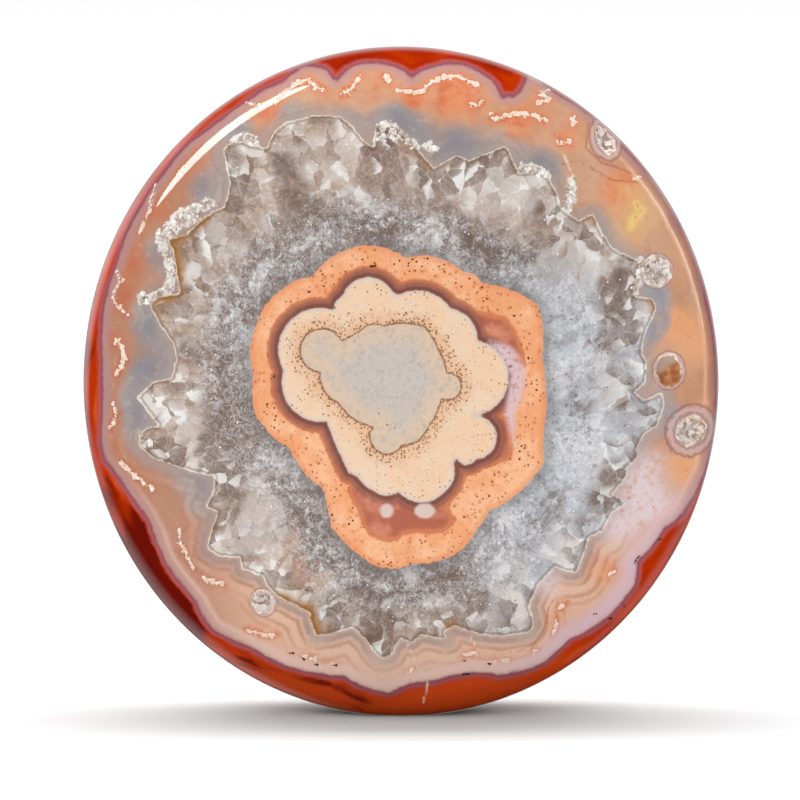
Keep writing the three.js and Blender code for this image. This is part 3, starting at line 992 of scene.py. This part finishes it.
def chips_tree():
    """Chips strung along lines: spaced, scattered, laid on the stone and turned at random."""
    numbers = ("Spacing", "Scatter", "Smallest", "Largest", "Flatness", "Point", "Lean", "Sink")
    inputs = {"Lines": "NodeSocketGeometry", "Stone": "NodeSocketObject"}
    inputs |= dict.fromkeys(numbers, "NodeSocketFloat")
    inputs |= {"Sides": "NodeSocketInt", "Seed": "NodeSocketInt", "Finish": "NodeSocketMaterial"}
    tree, given = new_tree("chips_along_lines", "GeometryNodeTree", inputs, {"Chips": "NodeSocketGeometry"})

    def chance(low, high, offset):
        """A random number for each chip."""
        inputs = {2: low, 3: high, 8: given["Seed"] + offset}
        return take(tree, "FunctionNodeRandomValue", inputs, 1, data_type="FLOAT")

    curve = take(tree, "GeometryNodeMeshToCurve", {0: given["Lines"]})
    spacing = {"Curve": curve, "Length": given["Spacing"]}
    points = take(tree, "GeometryNodeCurveToPoints", spacing, mode="LENGTH")
    away = joined(chance(-1.0, 1.0, 1), chance(-1.0, 1.0, 2), chance(-1.0, 1.0, 3)).scaled(given["Scatter"])
    points = take(tree, "GeometryNodeSetPosition", {"Geometry": points, "Offset": away})
    stone = take(tree, "GeometryNodeObjectInfo", {0: given["Stone"]}, "Geometry")
    nearest = take(tree, "GeometryNodeProximity", {0: stone}, "Position", target_element="FACES")
    sampled = {"Mesh": stone, "Value": take(tree, "GeometryNodeInputNormal")}
    outward = take(tree, "GeometryNodeSampleNearestSurface", sampled, "Value", data_type="FLOAT_VECTOR")
    laid = {"Geometry": points, "Position": nearest, "Offset": outward.scaled(-given["Sink"])}
    points = take(tree, "GeometryNodeSetPosition", laid)
    upright = take(tree, "FunctionNodeAlignRotationToVector", {"Vector": outward}, axis="Z")
    lean = given["Lean"]
    turned = joined(chance(-lean, lean, 4), chance(-lean, lean, 5), chance(0.0, math.tau, 6))
    own_turn = take(tree, "FunctionNodeEulerToRotation", {0: turned})
    rotation = take(tree, "FunctionNodeRotateRotation", {0: upright, 1: own_turn}, rotation_space="LOCAL")
    size = chance(given["Smallest"], given["Largest"], 7)
    shape = {"Vertices": given["Sides"], "Radius Top": given["Point"], "Radius Bottom": 0.5, "Depth": 1.0}
    chip = take(tree, "GeometryNodeMeshCone", shape, "Mesh")
    scale = joined(size, size * chance(0.5, 1.0, 8), size * given["Flatness"])
    strung_chips = {"Points": points, "Instance": chip, "Rotation": rotation, "Scale": scale}
    scattered = take(tree, "GeometryNodeInstanceOnPoints", strung_chips)
    whole = take(tree, "GeometryNodeRealizeInstances", {0: scattered})
    dressed = take(tree, "GeometryNodeSetMaterial", {"Geometry": whole, "Material": given["Finish"]})
    place(tree, "NodeGroupOutput", {0: dressed})
    return tree


def finish_chips(name, light, dark, gloss):
    """Opaque mineral with a grain of its own, lighter and darker from chip to chip."""
    material = bpy.data.materials.new(name)
    material.use_nodes = True
    tree = material.node_tree
    tree.nodes.clear()
    grain = noise(millimetres(tree), 1.8, 3.0, 0.7)
    piece = take(tree, "ShaderNodeNewGeometry", output="Random Per Island")
    colour = layered(light, (dark, fade(grain * 1.2 + piece * 0.8, 0.75, 1.35)))
    inputs = {"Base Color": colour, "Roughness": 0.35, "Coat Weight": gloss, "Coat Roughness": 0.1}
    place(tree, "ShaderNodeOutputMaterial", {"Surface": take(tree, "ShaderNodeBsdfPrincipled", inputs)})
    return material


def on_front(seen_right, seen_up):
    """The place on the front face that is seen right of and above the outline's centre."""
    up = seen_up
    for _ in range(SETTLING_STEPS):
        depth = front_depth(seen_right, up)
        up = (seen_up + depth * math.sin(SEEN_FROM_ABOVE)) / math.cos(SEEN_FROM_ABOVE)
    return (seen_right * MM, -depth * MM, centre_height + up * MM)


def strung(name, runs, finish, seed, spacing, scatter, sizes, flatness, point, lean, sides):
    """One group of chips along its lines, riding on the stone. Lengths are in millimetres."""
    lines = bpy.data.meshes.new(name + "_lines")
    points = [on_front(*corner) for run in runs for corner in run]
    ends = {sum(len(run) for run in runs[: number + 1]) for number in range(len(runs))}
    lines.from_pydata(points, [(step - 1, step) for step in range(1, len(points)) if step not in ends], [])
    values = {
        "Stone": agate,
        "Spacing": spacing * MM,
        "Scatter": scatter * MM,
        "Smallest": sizes[0] * MM,
        "Largest": sizes[1] * MM,
        "Flatness": flatness,
        "Point": point,
        "Lean": lean,
        "Sink": SUNK_SHARE * sizes[0] * MM,
        "Sides": sides,
        "Seed": seed,
        "Finish": finish,
    }
    piece = grown(name, chips, values, lines)
    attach(piece, "root")


chips = chips_tree()
milk_white = finish_chips("milk_white_chips", (252, 240, 228), (240, 196, 164), 0.6)
glassy = finish_chips("glassy_chips", (255, 252, 248), (196, 174, 156), 0.7)
dark_red = finish_chips("dark_red_grains", (96, 30, 22), (44, 12, 12), 0.8)
honey = finish_chips("honey_chips", (246, 214, 132), (226, 176, 96), 0.8)

# The rims and floors of all pockets but the second, whose crystal is smooth.
RIM_SHARE = 0.86  # of the pocket's half width, where its rim of chips runs
pocket_rims = []
pocket_floors = []
for right, up, width, stretch, degrees, _ in POCKETS[:1] + POCKETS[2:]:
    seen_height = up * math.cos(SEEN_FROM_ABOVE) - front_depth(right, up) * math.sin(SEEN_FROM_ABOVE)
    angle = math.radians(degrees)
    rim = []
    for side in range(POCKET_SIDES + 1):
        facing = math.tau * side / POCKET_SIDES
        forth = width / 2 * RIM_SHARE * math.cos(facing)
        aside = width / 2 * RIM_SHARE * stretch * math.sin(facing)
        rim_right = right + forth * math.cos(angle) - aside * math.sin(angle)
        rim.append((rim_right, seen_height + forth * math.sin(angle) + aside * math.cos(angle)))
    pocket_rims.append(rim)
    floor_end = (right + 0.2 * width, seen_height + 0.1 * width)
    pocket_floors.append([(right - 0.25 * width, seen_height), floor_end])

# Dark red grains in the bottom bands, under the skin at the right, and beside the middle.
GRAIN_RUNS = [
    [(-13.2, -32.4), (-12.9, -32.4)], [(-11.8, -33), (-11.5, -33.1)], [(-10.3, -33.7), (-10.1, -33.7)],
    [(-8, -33.8), (-7.7, -33.8)], [(7.5, -33.3), (7.7, -33.3)], [(10.5, -33.6), (10.7, -33.6)],
    [(7.4, -34.9), (8.2, -34.8)], [(27.9, -21.5), (28.3, -20.9)], [(26.6, -26.8), (26.8, -26.8)],
    [(24.9, -28.3), (25.1, -28.3)], [(23.1, -27.7), (23.3, -27.7)], [(30.8, -18.8), (31, -18.8)],
    [(-3.6, 13.6), (-3, 13.7)], [(-15.3, 0.4), (-15.1, 0.6)],
]
# name, lines, finish, seed, spacing, scatter, smallest and largest, flatness, point, lean, sides
for group in (
    ("white_flakes", RUNS["flakes"], milk_white, 3, 0.26, 0.16, (0.2, 0.6), 0.1, 0.42, 0.2, 5),
    ("honey_flakes", RUNS["yellow"], honey, 5, 0.3, 0.2, (0.25, 0.6), 0.15, 0.42, 0.25, 5),
    ("white_druse", RUNS["crust"], glassy, 11, 0.15, 0.42, (0.3, 0.9), 0.6, 0.14, 0.9, 6),
    ("pocket_rims", pocket_rims, milk_white, 17, 0.5, 0.1, (0.3, 0.6), 0.5, 0.2, 0.6, 6),
    ("pocket_floors", pocket_floors, glassy, 23, 0.4, 0.3, (0.6, 1.2), 0.5, 0.2, 0.9, 6),
    ("dark_grains", GRAIN_RUNS, dark_red, 29, 0.15, 0.1, (0.25, 0.45), 0.3, 0.3, 0.3, 6),
):
    strung(*group)

# The table: a plain white floor, not part of the stone.
FLOOR_REACH = 6.0
PAPER_WHITE = (0.97, 0.97, 0.97, 1)

floor_mesh = bpy.data.meshes.new("white_floor")
floor_corners = [(x * FLOOR_REACH, y * FLOOR_REACH, 0) for x, y in ((-1, -1), (1, -1), (1, 1), (-1, 1))]
floor_mesh.from_pydata(floor_corners, [], [(0, 1, 2, 3)])
floor = bpy.data.objects.new("white_floor", floor_mesh)
bpy.context.scene.collection.objects.link(floor)
floor_finish = bpy.data.materials.new("white_paper")
floor_finish.use_nodes = True
floor_shader = floor_finish.node_tree.nodes["Principled BSDF"]
for socket, value in {"Base Color": PAPER_WHITE, "Roughness": 0.9, "Specular IOR Level": 0.0}.items():
    floor_shader.inputs[socket].default_value = value
floor_mesh.materials.append(floor_finish)
floor.visible_glossy = False

# The light: a white room, a wide soft lamp in front and one above, and two long lamps whose reflections are
# the bright streaks on the polish.
STREAK_DISTANCE = 0.57
STREAK_LAMPS = [  # direction in degrees, how far behind, length, width, brightness
    (130.5, 0.034, 0.42, 0.12, 12.0),
    (19.0, 0.28, 0.36, 0.06, 1.9),
]
BRIGHT_WALLS = [  # direction, how wide as a cosine, brightness
    ((-0.50, 0.70, -0.52), 0.90, 0.5),
    ((0.60, 0.68, -0.42), 0.93, 0.35),
    ((-0.54, 0.84, 0.1), 0.93, 0.95),
]
BACK_WALL = 0.6
ROOM_LIGHT = 0.44


def lamp(name, place_at, width, depth, radiance, for_polish):
    """A flat lamp that faces the stone, either for the surfaces or for the reflections in the polish."""
    data = bpy.data.lights.new(name, "AREA")
    data.shape = "ELLIPSE"
    data.size = width
    data.size_y = depth
    data.energy = radiance * math.pi * width * depth * math.pi / 4
    made = bpy.data.objects.new(name, data)
    away = Vector(place_at).normalized()
    aside = Vector((-place_at[2], 0, place_at[0])).normalized()
    facing = Matrix((aside, away.cross(aside), away)).transposed()
    stands_at = Vector((0, 0, centre_height)) + Vector(place_at)
    made.matrix_world = Matrix.Translation(stands_at) @ facing.to_4x4()
    made.visible_glossy = for_polish
    made.visible_diffuse = not for_polish
    bpy.context.scene.collection.objects.link(made)


# name, place from the stone's middle, width, depth, brightness, and whether it is for the polish
lamp("front_lamp", (-0.3, -1.0, 0.5), 0.9, 0.9, 1.65, False)
lamp("top_lamp", (-0.1, 0.45, 2.3), 4.8, 0.9, 5.6, False)
for number, (degrees, back, length, width, brightness) in enumerate(STREAK_LAMPS):
    angle = math.radians(degrees)
    place_at = (math.cos(angle) * STREAK_DISTANCE, back, math.sin(angle) * STREAK_DISTANCE)
    lamp(f"streak_lamp_{number}", place_at, length, width, brightness, True)

room = bpy.data.worlds.new("white_room")
bpy.context.scene.world = room
room.use_nodes = True
tree = room.node_tree
tree.nodes.clear()
aim = take(tree, "ShaderNodeTexCoord", output="Generated")
_, behind, above = aim.split()
reflected = fade(behind, 0.78, 0.99) * fade(above, -0.45, -0.1) * BACK_WALL
for direction, width, brightness in BRIGHT_WALLS:
    towards = aim.vector("DOT_PRODUCT", direction, output="Value")
    reflected = reflected.at_least(fade(towards, width, 1.0) * brightness)
strength = ROOM_LIGHT
for ray, brightness in (("Is Glossy Ray", reflected), ("Is Camera Ray", 1.0)):
    seen = take(tree, "ShaderNodeLightPath", output=ray)
    strength = take(tree, "ShaderNodeMix", {0: seen, 2: strength, 3: brightness}, data_type="FLOAT")
background = take(tree, "ShaderNodeBackground", {"Color": (1, 1, 1, 1), "Strength": strength})
place(tree, "ShaderNodeOutputWorld", {0: background})
bpy.context.scene.view_settings.view_transform = "Standard"

# The camera: level with the stone's front and a little above it, far off through a long lens.
CAMERA_DISTANCE = 1.2
FIELD_WIDTH = 96 * MM  # what the picture spans at the stone
AIM_RIGHT = -0.12 * MM
AIM_HEIGHT = 37.74 * MM

camera_data = bpy.data.cameras.new("camera")
camera_data.lens = camera_data.sensor_width * CAMERA_DISTANCE / FIELD_WIDTH
camera = bpy.data.objects.new("camera", camera_data)
camera_rise = CAMERA_DISTANCE * math.sin(SEEN_FROM_ABOVE)
camera.location = (AIM_RIGHT, -CAMERA_DISTANCE * math.cos(SEEN_FROM_ABOVE), AIM_HEIGHT + camera_rise)
camera.rotation_euler = (math.pi / 2 - SEEN_FROM_ABOVE, 0, 0)
camera_data.clip_start = 0.01
camera_data.clip_end = 50
bpy.context.scene.collection.objects.link(camera)
bpy.context.scene.camera = camera
